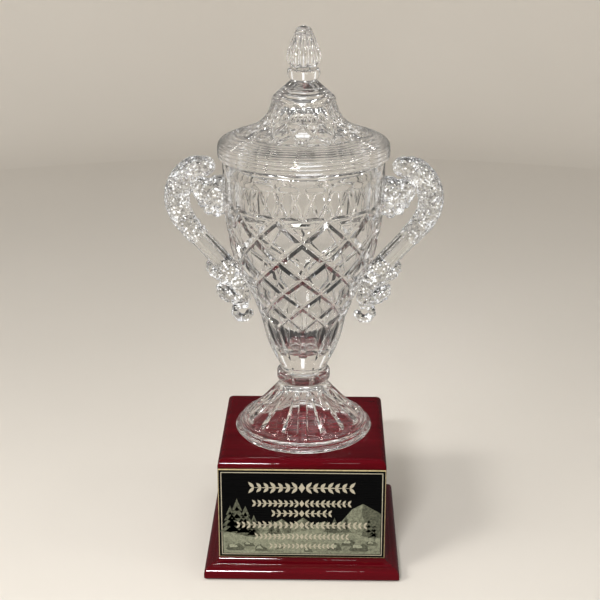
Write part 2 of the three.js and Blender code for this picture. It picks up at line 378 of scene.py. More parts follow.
def reeded(profile):
    """The profile walked in even steps, with a row of small convex reeds standing on it."""
    points = np.array(profile, float)
    travel = travelled(points)
    reeds = round(travel[-1] / REED_PITCH)
    at = np.linspace(0, travel[-1], reeds * 7 + 1)
    r, z = (smooth(np.stack([travel, points[:, i]], 1), at) for i in (0, 1))
    slope_r, slope_z = np.gradient(r, at), np.gradient(z, at)
    sink = REED_DEPTH * (1 - np.abs(np.sin(math.pi * at / travel[-1] * reeds)) ** 0.6)
    return list(zip(r - sink * slope_z, z + sink * slope_r))


def lid_rings():
    """Loops of the cut flare and the fluted bell, with the split of each cell."""
    rings, splits = [], []
    steps = COLUMNS // (2 * RIBS)
    last = steps * FLARE[-1][0]
    for j in range(last + 1):
        row = j / steps
        radius = float(smooth([(r, a) for r, a, _ in FLARE], row))
        height = float(smooth([(r, b) for r, _, b in FLARE], row))
        distance, _ = lattice_distance(TURN, row, RIBS)
        sink = FLARE_CUT * (radius / 36) * cut_shape(distance)
        rings.append(ring(radius - sink * 0.6, height - sink * 0.8))
        splits.append(lattice_split(row, steps, RIBS) if j < last else PLAIN)
    lane = 1 - np.abs(wave(RIBS))
    start = 214.2 + 2.4 * arch(lane)
    end = 225.6 - 2.4 * arch(lane)
    for height in np.linspace(BELL[0][0], BELL[-1][0], 30)[1:]:
        radius = float(smooth(BELL, height))
        sink = 1.15 * band(height, start, start + 1.0, end - 1.2, end) * hollow(lane / 0.9, 0.9)
        rings.append(ring(radius - sink, height))
        splits.append(PLAIN)
    return rings, splits


def bud_rings():
    """The knob's bud, cut with ten flutes that fade out below its tip."""
    rings = []
    lane = 1 - np.abs(wave(DIAMONDS))
    for height in np.linspace(BUD[0][0], BUD[-1][0], 40):
        radius = float(smooth(BUD, height))
        sink = 1.35 * band(height, 247.2, 249.8, 264.5, 267.5) * hollow(lane / 0.92, 0.8)
        rings.append(ring(radius - sink * radius / 11, height))
    return rings + plain_rings(BUD_TIP)


def build_lid():
    """Dome and knob: fused glass, so one clear body."""
    cut, cut_splits = lid_rings()
    start = [pole(LID_ROOF)] + plain_rings(LID_UNDER + LID_EDGE + reeded(LID_SHELL))
    end = plain_rings(LID_TOP + COLLAR) + bud_rings() + [pole(KNOB_TOP)]
    split = [PLAIN] * len(start) + cut_splits + [PLAIN] * len(end)
    return loft("crystal_lid", start + cut + end, 24, split)


# ---------------------------------------------------------------- handles
# Modelled on the +X side and mirrored. Points are (distance out, height, half-width, half-depth).
ARM = [(63.4, 182.0, 6.3, 6.0), (70.5, 180.6, 7.5, 6.6), (76.6, 175.4, 8.1, 6.9), (81.2, 167, 8.1, 6.9),
       (82.1, 157.8, 7.9, 6.7), (79.2, 148.8, 7.4, 6.5), (72.5, 139.6, 6.8, 6.3), (64.3, 130.4, 6.7, 6.3),
       (55.8, 121, 6.6, 6.3), (48.5, 112, 6.2, 6.0), (43, 102, 5.2, 5.2), (38.6, 93, 3.8, 4.2)]
ROOT = [(50.5, 166.0, 10.0, 6.3), (56.5, 164.4, 11.2, 6.3), (62.5, 165.4, 9.6, 5.8),
        (68.4, 169.2, 6.2, 5.4)]
# The root's lobes: distance out, height, half-width.
ROOT_LOBES = [(67.4, 163.6, 3.9), (65.2, 157.8, 3.3), (61.4, 153.4, 3.3), (56.4, 151.6, 3.3),
              (51.6, 153.0, 3.1)]
# Each leaf is a fan of ribs: where they spring from, and their tips.
LEAVES = [
    ((46.0, 101.5), [(59.6, 119.0), (61.8, 115.9), (61.7, 112.5), (60.0, 109.5), (57.2, 107.6),
                     (53.8, 106.6)]),
    ((40.0, 90.0), [(53.4, 103.0), (55.6, 100.2), (55.5, 96.8), (53.7, 93.9), (50.6, 91.8),
                    (47.0, 90.6)]),
]
RIB = (1.5, 2.15)  # half-width of a leaf's rib where it springs and at its tip
CURL_CENTRE = (40.6, 83.2)
CURL_RADIUS = 4.7
CURL_HALF_WIDTH = 2.4
LIMB_SIDES = 24
LIMB_STEP = 0.8
VOXEL = 0.42  # cell of the skin that joins the limbs
FACET = 2.0  # width of one facet of the sparkling skin
FACET_RISE = 0.175  # of its dome, as a share of its width
FACET_TILT = 0.62
FACET_SEED = 1  # fixes the tilts, which Blender otherwise draws by the clock
FLUTED = (124, 147)  # stretch of the arm with flutes instead of beads, measured along its slope
SLOPE = (0.674, 0.739)
ARM_LINE = -40.3  # the arm's centreline, measured across the slope
ARM_FLUTES = 8
ARM_FLUTE_DEPTH = 0.17  # as a share of the arm's half-width
GLASS_GAP = 0.3  # between the handles and the bowl


def limb(points, flutes=False):
    """Rings of a rounded limb through (x, z, half-width, half-depth) points in the handle's plane."""
    points = np.array(points, float)
    travel = travelled(points)
    at = np.linspace(0, travel[-1], max(4, int(travel[-1] / LIMB_STEP)))
    x, z, wide, deep = [smooth(np.stack([travel, points[:, i]], 1), at) for i in range(4)]
    tangent = np.stack([np.gradient(x, at), np.gradient(z, at)], 1)
    tangent /= np.linalg.norm(tangent, axis=1)[:, None]
    turn = np.arange(LIMB_SIDES) / LIMB_SIDES * 2 * math.pi
    rings = []

    def add(i, shrink, shift):
        groove = 0
        if flutes:
            along = SLOPE[0] * x[i] + SLOPE[1] * z[i]
            inside = band(along, FLUTED[0] - 4, FLUTED[0], FLUTED[1] - 3, FLUTED[1] + 1)
            groove = ARM_FLUTE_DEPTH * inside * (np.cos(ARM_FLUTES * turn) - 1) * 0.5
        aside = wide[i] * shrink * (1 + groove) * np.cos(turn)
        depth = deep[i] * shrink * (1 + groove) * np.sin(turn)
        forward, upward = tangent[i]
        rings.append(np.stack([x[i] + forward * shift - upward * aside, depth,
                               z[i] + upward * shift + forward * aside + BASE_TOP], 1))

    cap = np.radians([85, 65, 45, 22])
    for angle in cap:
        add(0, math.cos(angle), -wide[0] * math.sin(angle))
    for i in range(len(at)):
        add(i, 1, 0)
    for angle in cap[::-1]:
        add(len(at) - 1, math.cos(angle), wide[-1] * math.sin(angle))
    return rings


def handle_limbs():
    """Arm, root leaf with its lobes, two ribbed leaves and the beaded curl under them."""
    limbs = [limb(ARM, flutes=True), limb(ROOT)]
    for x, z, r in ROOT_LOBES:
        limbs.append(limb([(x - 6, z + 3.5, r * 0.8, 4.2), (x, z, r, 3.6)]))
    for (x0, z0), tips in LEAVES:
        for x, z in tips:
            middle = (x0 + (x - x0) * 0.6, z0 + (z - z0) * 0.6, sum(RIB) / 2, 5.0)
            limbs.append(limb([(x0, z0, RIB[0], 4.6), middle, (x, z, RIB[1], 3.2)]))
    curl = arc(CURL_CENTRE, (CURL_RADIUS, CURL_RADIUS), 110, -165, 11)
    limbs.append(limb([(x, z, CURL_HALF_WIDTH, 3.6) for x, z in curl]))
    for x, z in curl[1::2]:
        end = (x + (x - CURL_CENTRE[0]) * 0.12, z + (z - CURL_CENTRE[1]) * 0.12, CURL_HALF_WIDTH, 3.2)
        limbs.append(limb([(x, z, CURL_HALF_WIDTH, 3.4), end]))
    return limbs


def remeshed(vertices, faces):
    """One closed skin round overlapping closed shapes: its points, and its faces as rows of four."""
    mesh = bpy.data.meshes.new("rough")
    mesh.from_pydata([tuple(v) for v in vertices], [], faces)
    rough = bpy.data.objects.new("rough", mesh)
    bpy.context.scene.collection.objects.link(rough)
    skin = rough.modifiers.new("skin", "REMESH")
    skin.mode = "VOXEL"
    skin.voxel_size = VOXEL
    skin.adaptivity = 0
    bpy.context.view_layer.update()
    result = rough.evaluated_get(bpy.context.evaluated_depsgraph_get()).to_mesh()
    points = np.empty(len(result.vertices) * 3)
    result.vertices.foreach_get("co", points)
    corners = np.empty(len(result.loops), int)
    result.loops.foreach_get("vertex_index", corners)
    bpy.data.objects.remove(rough)
    bpy.data.meshes.remove(mesh)
    return points.reshape(-1, 3), corners.reshape(-1, 4)


def relaxed(points, quads, rounds):
    """The same skin with its voxel steps smoothed out."""
    edges = np.concatenate([quads[:, [0, 1]], quads[:, [1, 2]], quads[:, [2, 3]], quads[:, [3, 0]]])
    one, other = edges.T
    size = len(points)
    count = np.bincount(edges.ravel(), minlength=size)[:, None]
    for _ in range(rounds):
        total = np.stack([np.bincount(one, points[other, i], size) + np.bincount(other, points[one, i], size)
                          for i in range(3)], 1)
        points = points * 0.4 + total / count * 0.6
    return points


def skin_normals(points, quads):
    """Unit normal at each point, averaged over the faces that meet there."""
    a, b, c, d = (points[quads[:, i]] for i in range(4))
    face = np.cross(c - a, d - b)
    normal = np.stack([sum(np.bincount(quads[:, k], face[:, i], len(points)) for k in range(4))
                       for i in range(3)], 1)
    return normal / np.maximum(np.linalg.norm(normal, axis=1), 1e-9)[:, None]


def faceting(places):
    """Height, in facets, of a skin broken into small cells, each a low dome cut off by its own tilt."""
    lift = np.empty(len(places))
    for i, place in enumerate(places):
        where = Vector(place)
        distances, centres = noise.voronoi(where)
        tilt = noise.noise_vector(centres[0] * 7.3) * FACET_TILT
        dome = math.sqrt(max(0, 1 - (distances[0] / 0.65) ** 2))
        lift[i] = FACET_RISE * dome + tilt.dot(where - centres[0])
    return lift


def build_handles():
    """Both cast handles: one skin each, faceted by displacement and kept just clear of the bowl."""
    noise.seed_set(FACET_SEED)
    points, quads = remeshed(*tubes(handle_limbs()))
    points = relaxed(points, quads, 3)
    normals = skin_normals(points, quads)
    along = SLOPE[0] * points[:, 0] + SLOPE[1] * (points[:, 2] - BASE_TOP)
    across = SLOPE[1] * points[:, 0] - SLOPE[0] * (points[:, 2] - BASE_TOP) - ARM_LINE
    plain = band(along, FLUTED[0] - 2, FLUTED[0], FLUTED[1] - 2, FLUTED[1])
    plain *= 1 - ease(across - 0.35 * (along - FLUTED[0]), 2, 5)
    calm = np.where(along < FLUTED[0], 0.5, 1)  # so that the leaves' ribs show
    pieces = []
    for name, side, seed in (("crystal_handle_right", 1, 0.0), ("crystal_handle_left", -1, 40.0)):
        lift = faceting(points / FACET + seed) * FACET * (1 - plain) * calm
        skin = points + normals * lift[:, None]
        reach = np.hypot(skin[:, 0], skin[:, 1])
        clear = smooth(BOWL_OUTER, skin[:, 2] - BASE_TOP) + GLASS_GAP
        skin[:, :2] *= np.maximum(clear / reach, 1)[:, None]
        skin[:, 0] *= side
        order = quads if side > 0 else quads[:, ::-1]
        pieces.append(new_object(name, skin, order.tolist(), 80))
    return pieces


# ---------------------------------------------------------------- wooden base
JOINT = 0.02  # hairline between glued pieces
BOARD = BASE_TOP - BOARD_LOW
CHAMFER = 0.25
CORNER = 0.9  # round of the base's upright corners
ARC_STEPS = 6


def outward(piece):
    """Turn every face of a closed piece to point out."""
    mesh = bmesh.new()
    mesh.from_mesh(piece.data)
    bmesh.ops.recalc_face_normals(mesh, faces=mesh.faces)
    mesh.to_mesh(piece.data)
    mesh.free()
    return piece


def mitred_strip(name, section, quarter):
    """A board or moulding along one side of the base, turned by quarters and mitred at both ends.
    section lists (distance out from the middle, height) round the strip."""
    section = np.array(section, float)
    out, height = section[:, 0], section[:, 1]
    stations = []
    for end in (-1, 1):
        angles = np.radians(np.linspace(45, 0, ARC_STEPS))
        for angle in (angles if end < 0 else angles[::-1]):
            x = end * (out - CORNER + CORNER * math.sin(angle) - JOINT)
            y = -(out - CORNER + CORNER * math.cos(angle))
            stations.append((x, y))
    turn = quarter * math.pi / 2
    cos, sin = round(math.cos(turn)), round(math.sin(turn))
    loops = [np.stack([x * cos - y * sin, x * sin + y * cos, height], 1) for x, y in stations]
    return outward(loft(name, loops, 32))


def panel_section():
    back, front = HALF_COLUMN - BOARD, HALF_COLUMN
    bottom, top = BASE_LOW, BOARD_LOW - JOINT
    return [(back, bottom), (front - CHAMFER, bottom), (front, bottom + CHAMFER),
            (front, top - CHAMFER), (front - CHAMFER, top), (back, top)]


def moulding_section():
    """Upright band, rounded shoulder, beaded step and a cove up to the column."""
    height = MOULDING_TOP - BASE_LOW
    back = HALF_COLUMN + JOINT
    step = HALF_COLUMN + 4.7
    shoulder = arc((step, 3.4), (HALF_FOOT - step, 4.5), 0, 84, 12)
    bead = arc((step - 0.75, 8.25), (0.75, 0.7), -10, 90, 5)
    cove = arc((step - 0.9, height - 0.25), (back + 0.25 - step + 0.9, 8.95 - height + 0.25), 90, 4, 10)
    outline = [(back, 0), (HALF_FOOT - 0.5, 0), (HALF_FOOT, 0.5)] + shoulder + bead + cove
    outline += [(back + 0.2, height), (back, height)]
    return [(out, z + BASE_LOW) for out, z in outline]


def square_ring(half, height):
    """A loop round a square with rounded corners."""
    inner = half - CORNER
    points = []
    for quarter, (x, y) in enumerate(((inner, inner), (-inner, inner), (-inner, -inner), (inner, -inner))):
        start = 90 * quarter
        points += arc((x, y), (CORNER, CORNER), start, start + 90, ARC_STEPS * 2 - 1)
    return np.array([(x, y, height) for x, y in points])


def build_top_board():
    """The board that closes the base, with a rounded upper edge."""
    round_over = arc((HALF_COLUMN - 5, BASE_TOP - 5), (5, 5), 0, 90, 12)
    outline = [(HALF_COLUMN - CHAMFER, BOARD_LOW), (HALF_COLUMN, BOARD_LOW + CHAMFER)] + round_over
    return outward(loft("base_top", [square_ring(half, height) for half, height in outline], 32))


def build_felt():
    """A thin felt sheet, a little smaller and slightly uneven underneath."""
    half, top, cells = high("felt_pad")[0], high("felt_pad")[2], 60
    grid = np.linspace(-half, half, cells + 1)
    wide = cells + 1

    def row(y, reach, heights):
        return np.stack([np.clip(grid, -reach, reach), np.full(wide, np.clip(y, -reach, reach)), heights], 1)

    rows = []
    for y in grid:
        uneven = [0.05 * noise.noise(Vector((x, y, -1)) * 0.3) for x in grid]
        rows.append(row(y, half - 0.25, np.maximum(uneven, 0)))
    rows += [row(y, half, np.full(wide, top)) for y in grid[::-1]]
    faces = []
    for j in range(2 * wide):
        a, b = j * wide, (j + 1) % (2 * wide) * wide
        faces += [(a + k, a + k + 1, b + k + 1, b + k) for k in range(cells)]
    for j in range(cells):
        mirror = 2 * wide - 1 - j
        for k in (0, cells):
            faces.append((j * wide + k, (j + 1) * wide + k, (mirror - 1) * wide + k, mirror * wide + k))
    return outward(new_object("felt_sheet", np.concatenate(rows), faces, 60))


def build_adhesive():
    """Clear adhesive squeezed flat under the foot's ground rim, with a slightly wavy edge."""
    reach, top = high("foot_adhesive")[0], high("foot_adhesive")[2] + 0.02 - BASE_TOP
    bottom = low("foot_adhesive")[2] - 0.28 - BASE_TOP
    angle = TURN * 2 * math.pi
    wander = np.array([noise.noise(Vector((math.sin(a), math.cos(a), 0)) * 3) for a in angle])
    outer = reach + 0.35 * wander
    inner = reach - 2.6 + 0.35 * wander[::-1]
    middle = (bottom + top) / 2
    loops = [ring(inner, bottom), ring(outer, bottom), ring(outer + 0.15, middle), ring(outer, top),
             ring(inner, top), ring(inner - 0.15, middle)]
    return outward(loft("adhesive_bead", loops, 60, closed=True))


# ---------------------------------------------------------------- nameplate
PLATE_FRONT = PLATE_LOW[1]
PLATE_MIDDLE = (PLATE_LOW[2] + PLATE_HIGH[2]) / 2
PLATE_HALF = (PLATE_HIGH[0], (PLATE_HIGH[2] - PLATE_LOW[2]) / 2)
BEVEL = 0.45
SUNK = 0.02  # the black face lies this far behind the front of the plate's edge
INLAY = 0.05  # how far each layer of the engraving's gold stands out
PICTURE_INSET = 2.9  # from the plate's edge to the picture
PICTURE_HALF = PLATE_HALF[0] - PICTURE_INSET
PICTURE_LOW = PICTURE_INSET - PLATE_HALF[1]  # heights on the plate count from its middle
HATCH_PITCH = 0.9
# The far mountains' skyline: distance from the middle and height over the picture's bottom line.
SKYLINE = [(-PICTURE_HALF, 16), (-40, 27), (-33, 22), (-24, 19), (-13, 25.5), (-7, 21), (1, 26.5), (8, 21.5),
           (15, 24), (23, 20), (33, 33), (40, 37), (PICTURE_HALF, 30)]
SUMMITS = (1, 4, 6, 8, 11)  # their places in the skyline
# Firs: distance from the middle, height.
FIRS = [(-47, 21), (-42.5, 27), (-37, 23.5), (-31.5, 17), (-20, 11), (-15.5, 8.5), (17, 9), (21.5, 12),
        (29, 13.5), (44, 17), (48, 13)]
# Stones: distance from the middle, height over the picture's bottom line, width.
STONES = [(-44, 2, 11), (-35, 5, 7), (-27, 1.5, 9), (-14, 3.5, 5), (22, 2.5, 10), (31, 6, 9), (38, 2, 12),
          (46, 6.5, 7), (4, 1.2, 6)]
# Ornament rows: distance below the plate's top edge, length, height.
ROWS = [(12.8, 66, 7.0), (24.2, 63, 5.0), (31.4, 38, 5.0), (40.0, 84, 5.0), (48.4, 60, 4.2), (55.4, 41, 3.8)]


def plate_ring(inset, depth):
    """A loop round the plate, inset from its edge and depth behind its front."""
    x, z = PLATE_HALF[0] - inset, PLATE_HALF[1] - inset
    y = PLATE_FRONT + depth
    return np.array([(-x, y, PLATE_MIDDLE - z), (x, y, PLATE_MIDDLE - z), (x, y, PLATE_MIDDLE + z),
                     (-x, y, PLATE_MIDDLE + z)])


def build_plate():
    """Black sheet, with its bright bevelled edge as a piece of its own."""
    thick = PLATE_HIGH[1] - PLATE_LOW[1]
    face_loops = [plate_ring(BEVEL + 0.01, SUNK), plate_ring(BEVEL + 0.01, thick)]
    face = outward(loft("nameplate_sheet", face_loops))
    edge_loops = [plate_ring(BEVEL, 0), plate_ring(BEVEL - 0.1, 0), plate_ring(0, BEVEL * 0.9),
                  plate_ring(0, thick), plate_ring(BEVEL, thick)]
    edge = outward(loft("nameplate_edge", edge_loops, closed=True))
    return face, edge


def leaf(x, z, length, width, degrees):
    """Outline of a pointed leaf that grows from a point."""
    angle = math.radians(degrees)
    along = np.concatenate([np.linspace(0, 1, 7), np.linspace(1, 0, 7)[1:-1]])
    side = np.concatenate([np.ones(7), -np.ones(5)])
    half = side * width / 2 * np.sin(np.pi * along**0.8)
    return [(x + length * a * math.cos(angle) - h * math.sin(angle),
             z + length * a * math.sin(angle) + h * math.cos(angle)) for a, h in zip(along, half)]


def lozenge(x, z, width, height):
    return [(x - width / 2, z), (x, z - height / 2), (x + width / 2, z), (x, z + height / 2)]


def ornament_row(below, length, height):
    """A garland: leaves in pairs along a thin stem, growing out from a lozenge in the middle."""
    z = PLATE_HALF[1] - below
    count = max(3, round(length / 2 / (height * 0.72)))
    unit = length / 2 / count
    shapes = [lozenge(0, z, unit * 0.9, height)]
    for side in (-1, 1):
        shapes.append(lozenge(side * length / 4, z, length / 2, height * 0.12))
        for i in range(count):
            for tilt in (48, -48):
                angle = tilt if side > 0 else 180 - tilt
                size = height * (0.66 if i % 3 else 0.78)
                shapes.append(leaf(side * (i + 0.62) * unit, z, size, height * 0.30, angle))
    return shapes


def build_inlay(name, shapes, lift):
    """Thin raised shapes on the plate's face, given their outlines."""
    back = PLATE_FRONT + SUNK
    solids = [[[(x, y, z + PLATE_MIDDLE) for x, z in outline] for y in (back - lift, back)]
              for outline in shapes]
    return outward(new_object(name, *tubes(solids)))


def picture_top(x):
    """Height of the near meadow's edge over the picture's bottom line."""
    return 15.5 + 2.2 * np.sin(x * 0.075 + 0.8) + 0.9 * np.sin(x * 0.23)


def hills():
    """Far mountains with their shaded sides, then the meadow, as outlines."""
    far = [(x, PICTURE_LOW + z) for x, z in SKYLINE]
    far += [(PICTURE_HALF, PICTURE_LOW + 8), (-PICTURE_HALF, PICTURE_LOW + 8)]
    shaded = []
    for k in SUMMITS:
        x, z = SKYLINE[k]
        foot_x, foot_z = SKYLINE[k + 1]
        outline = [(x, z), (foot_x, foot_z), (foot_x, 10), (x - 1.5, 10), (x + 1.6, z * 0.62),
                   (x - 0.8, z * 0.8)]
        shaded.append([(across, PICTURE_LOW + up) for across, up in outline])
    near = [(x, PICTURE_LOW + picture_top(x)) for x in np.linspace(-PICTURE_HALF, PICTURE_HALF, 60)]
    return far, shaded, near + [(PICTURE_HALF, PICTURE_LOW), (-PICTURE_HALF, PICTURE_LOW)]


def pine(x, foot, height):
    """A fir tree: a trunk and four tiers of drooping boughs."""
    wide = height * 0.34
    trunk = 0.35
    shapes = [[(x - trunk, foot - 1.2), (x + trunk, foot - 1.2), (x + trunk, foot + 1.5),
               (x - trunk, foot + 1.5)]]
    for tier in range(4):
        base = foot + height * (0.08 + 0.2 * tier)
        half = wide * (1 - 0.21 * tier)
        neck = base + height * 0.26
        shapes.append([(x - half, base), (x - half * 0.35, base + 0.25), (x, base - 0.3),
                       (x + half * 0.35, base + 0.25), (x + half, base), (x + half * 0.2, neck),
                       (x, base + height * 0.33), (x - half * 0.2, neck)])
    return shapes


def trees():
    """Firs along the meadow's edge, tallest at the left."""
    shapes = []
    for x, height in FIRS:
        shapes += pine(x, PICTURE_LOW + picture_top(x) - 1.5, height)
    return shapes


def boulder(x, z, wide, tall, turn):
    """An uneven rounded stone, flat underneath."""
    angles = np.radians(np.linspace(-20, 200, 9))
    reach = 1 + 0.16 * np.sin(angles * 3 + turn) + 0.08 * np.sin(angles * 7 + 2 * turn)
    return [(x + wide / 2 * r * math.cos(a), z + tall * r * max(0, math.sin(a)))
            for a, r in zip(angles, reach)]


def boulders():
    """Stones and low bushes on the meadow, and the light tops of the stones."""
    dark, light = [], []
    for i, (x, z, wide) in enumerate(STONES):
        tall = wide * 0.52
        dark.append(boulder(x, PICTURE_LOW + z, wide, tall, i))
        light.append(boulder(x - wide * 0.12, PICTURE_LOW + z + tall * 0.42, wide * 0.5, tall * 0.45, i + 1))
    return dark, light


def build_furrows():
    """Engraved lines across the meadow, thick where the light falls and thin in its folds."""
    inner = PICTURE_HALF - 0.2
    xs = np.linspace(-inner, inner, 90)
    back = PLATE_FRONT + SUNK
    front = back - 3 * INLAY
    lines = int(16 / HATCH_PITCH)
    strips = []
    for i in range(lines):
        share = (i + 0.5) / lines
        middle = PICTURE_LOW + share * (picture_top(xs) - 0.5) + 0.5 * share * np.sin(xs * 0.19 + 3 * share)
        middle += PLATE_MIDDLE
        tone = 0.5 + 0.5 * np.sin(xs * 0.085 + 4 * share + 2 * np.sin(xs * 0.05 + 5 * share))
        half = HATCH_PITCH * (0.06 + 0.34 * tone) / 2
        strips.append([[(x, front, z - h), (x, front, z + h), (x, back, z + h), (x, back, z - h)]
                       for x, z, h in zip(xs, middle, half)])
    return outward(new_object("engraved_furrows", *tubes(strips)))


def build_border():
    """Thin gold line round the engraving."""
    inset, wide, front = 1.9, 0.5, SUNK - INLAY
    loops = [plate_ring(inset, SUNK), plate_ring(inset, front), plate_ring(inset + wide, front),
             plate_ring(inset + wide, SUNK)]
    return outward(loft("engraved_border", loops, closed=True))


# ---------------------------------------------------------------- materials


class Nodes:
    """A new material's node tree, with short calls to add and join its nodes."""

    def __init__(self, name):
        self.material = bpy.data.materials.new(name)
        self.material.use_nodes = True
        self.tree = self.material.node_tree
        self.shader = self.tree.nodes["Principled BSDF"]

    def add(self, kind, settings=None, **inputs):
        node = self.tree.nodes.new(kind)
        for key, value in (settings or {}).items():
            setattr(node, key, value)
        for key, value in inputs.items():
            self.set(node, key.replace("_", " "), value)
        return node

    def set(self, node, socket, value):
        if isinstance(value, bpy.types.NodeSocket):
            self.tree.links.new(value, node.inputs[socket])
        else:
            node.inputs[socket].default_value = value

    def surface(self, **inputs):
        for key, value in inputs.items():
            self.set(self.shader, key.replace("_", " "), value)
        return self.material

    def place(self, *scale):
        """Object coordinates in metres, scaled by one number or by one for each axis."""
        where = self.add("ShaderNodeTexCoord").outputs["Object"]
        return self.add("ShaderNodeMapping", Vector=where, Scale=scale * (3 // len(scale))).outputs[0]

    def noise(self, *scale, **inputs):
        return self.add("ShaderNodeTexNoise", Vector=self.place(*scale), Scale=1.0, **inputs).outputs["Fac"]

    def cells(self, *scale):
        return self.add("ShaderNodeTexVoronoi", Vector=self.place(*scale), Scale=1.0)

    def ramp(self, factor, stops):
        node = self.add("ShaderNodeValToRGB", Fac=factor)
        points = node.color_ramp.elements
        while len(points) < len(stops):
            points.new(0.5)
        for point, (at, colour) in zip(points, stops):
            point.position = at
            point.color = colour
        return node.outputs["Color"]

    def range(self, value, start, end, new_start, new_end):
        """The value, taken from one range to another and held at its ends."""
        node = self.add("ShaderNodeMapRange", Value=value, From_Min=start, From_Max=end, To_Min=new_start,
                        To_Max=new_end)
        return node.outputs["Result"]

    def bump(self, height, strength, distance):
        return self.add("ShaderNodeBump", Strength=strength, Distance=distance, Height=height).outputs[0]


def crystal_surface(n, ripple_size, ripple, **inputs):
    """Clear lead crystal, with the faint ripple of a fire-polished surface."""
    bump = n.bump(n.noise(1 / ripple_size, Detail=2.0), ripple, 0.001)
    rough = n.range(n.noise(35, Detail=3.0), 0.45, 0.75, 0.0, 0.03)
    return n.surface(Roughness=rough, IOR=1.55, Normal=bump, **inputs)


def crystal_material():
    return crystal_surface(Nodes("cut_crystal"), 0.012, 0.04, Base_Color=(0.996, 0.998, 1.0, 1),
                           Transmission_Weight=1.0)


def beaded_painted_glints_and_shade():
    """Crystal cast with a stippled skin: some beads tinted grey as painted shade for dark reflections, some
    with a matt white point as a painted glint.
    The fluted stretch of each arm is left clear."""
    n = Nodes("beaded_crystal_painted_glints_and_shade")
    mirrored = n.add("ShaderNodeVectorMath", {"operation": "ABSOLUTE"}, Vector=n.place(1))
    along = n.add("ShaderNodeVectorMath", {"operation": "DOT_PRODUCT"})
    n.set(along, 0, mirrored.outputs["Vector"])
    n.set(along, 1, (SLOPE[0], 0, SLOPE[1]))
    start, end = ((edge + SLOPE[1] * BASE_TOP) * MM for edge in FLUTED)
    after = n.range(along.outputs["Value"], start, start + MM, 0, 1)
    fluted = n.range(along.outputs["Value"], end - MM, end, after, 0)
    beads = n.cells(520)
    chance = n.add("ShaderNodeSeparateColor", Color=beads.outputs["Color"])
    # Painted shade: a random share of the beads is tinted grey to stand in for dark reflections.
    painted_shade_tone = n.range(fluted, 0, 1, chance.outputs["Red"], 1)
    painted_shade_tint = n.ramp(painted_shade_tone, [(0.16, (0.56, 0.57, 0.60, 1)), (0.42, (0.975, 0.990, 1.0, 1))])
    # Painted glints: at the middle of some beads the crystal turns mostly matt white, standing in for glints
    # of light.
    point = n.range(chance.outputs["Green"], 0.5, 0.65, 1, 0.12)
    painted_glints = n.range(beads.outputs["Distance"], 0.28, 0.42, point, 1)
    clear = n.range(fluted, 0, 1, painted_glints, 1)
    return crystal_surface(n, 0.0009, 0.15, Base_Color=painted_shade_tint, Transmission_Weight=clear)


def lacquer_material(name, grain_scale, gloss):
    """Cherry-stained wood under a deep gloss coat with a trace of orange peel."""
    n = Nodes(name)
    grain = n.noise(*grain_scale, Detail=7.0, Roughness=0.62, Distortion=0.4)
    streak = n.ramp(grain, [(0.30, (0.056, 0.0010, 0.0030, 1)), (0.5, (0.076, 0.0014, 0.0040, 1)),
                            (0.70, (0.093, 0.0020, 0.0056, 1))])
    cloud = n.ramp(n.noise(9, Detail=2.0), [(0.3, (0.82, 0.82, 0.82, 1)), (0.7, (1, 1, 1, 1))])
    mix = n.add("ShaderNodeMix", {"data_type": "RGBA", "blend_type": "MULTIPLY"}, Factor=1.0, A=streak,
                B=cloud)
    peel = n.bump(n.noise(140, Detail=1.0), 0.07, 0.001)
    return n.surface(Base_Color=mix.outputs["Result"], Roughness=0.4, Specular_IOR_Level=0.0, Normal=peel,
                     Coat_Weight=gloss, Coat_Roughness=0.03, Coat_IOR=1.5, Coat_Normal=peel)


def grained_material(name, scale, grain, stops, bump, **inputs):
    """A material whose colour and bumps follow one fine texture. grain holds the settings of its
    noise, or None for round cells, and bump its strength and depth in metres."""
    n = Nodes(name)
    height = n.cells(*scale).outputs["Distance"] if grain is None else n.noise(*scale, **grain)
    return n.surface(Base_Color=n.ramp(height, stops), Normal=n.bump(height, *bump), **inputs)


def board_material():
    stops = [(0.1, (0.42, 0.27, 0.15, 1)), (0.8, (0.24, 0.14, 0.07, 1))]
    return grained_material("fibreboard", (900, 900, 260), None, stops, (0.4, 0.0004), Roughness=0.85)


def felt_material():
    stops = [(0.35, (0.004, 0.004, 0.005, 1)), (0.7, (0.022, 0.022, 0.026, 1))]
    fibre = {"Detail": 4.0, "Roughness": 0.7}
    return grained_material("black_felt", (2200,), fibre, stops, (0.8, 0.0003), Roughness=0.95,
                            Sheen_Weight=0.4, Sheen_Roughness=0.5)


def foam_material():
    stops = [(0.1, (0.55, 0.55, 0.52, 1)), (0.8, (0.72, 0.72, 0.68, 1))]
    return grained_material("foam_tape", (3500,), None, stops, (0.5, 0.0002), Roughness=0.9)


def gold_material(name, dark, light, grain_size):
    """Pale laser-engraved gold with a fine uneven grain."""
    grain = {"Detail": 5.0, "Roughness": 0.65}
    return grained_material(name, (1 / grain_size,), grain, [(0.36, dark), (0.62, light)],
                            (0.25, 0.0001), Roughness=0.42, Metallic=0.35)


def resin_material():
    """Clear glue with small bubbles near its surface."""
    n = Nodes("clear_resin")
    bubbles = n.bump(n.cells(700).outputs["Distance"], 0.2, 0.0003)
    return n.surface(Base_Color=(0.93, 0.95, 0.92, 1), Roughness=0.12, IOR=1.49, Transmission_Weight=1.0,
                     Normal=bubbles)


def plate_material():
    """Black enamelled metal, finely brushed along the plate."""
    n = Nodes("black_enamel")
    brush = n.noise(60, 3000, 9000, Detail=3.0)
    colour = n.ramp(brush, [(0.3, (0.0010, 0.0010, 0.0011, 1)), (0.7, (0.0024, 0.0025, 0.0024, 1))])
    return n.surface(Base_Color=colour, Roughness=n.range(brush, 0.3, 0.7, 0.24, 0.36),
                     Specular_IOR_Level=0.12, Normal=n.bump(brush, 0.05, 0.0001))


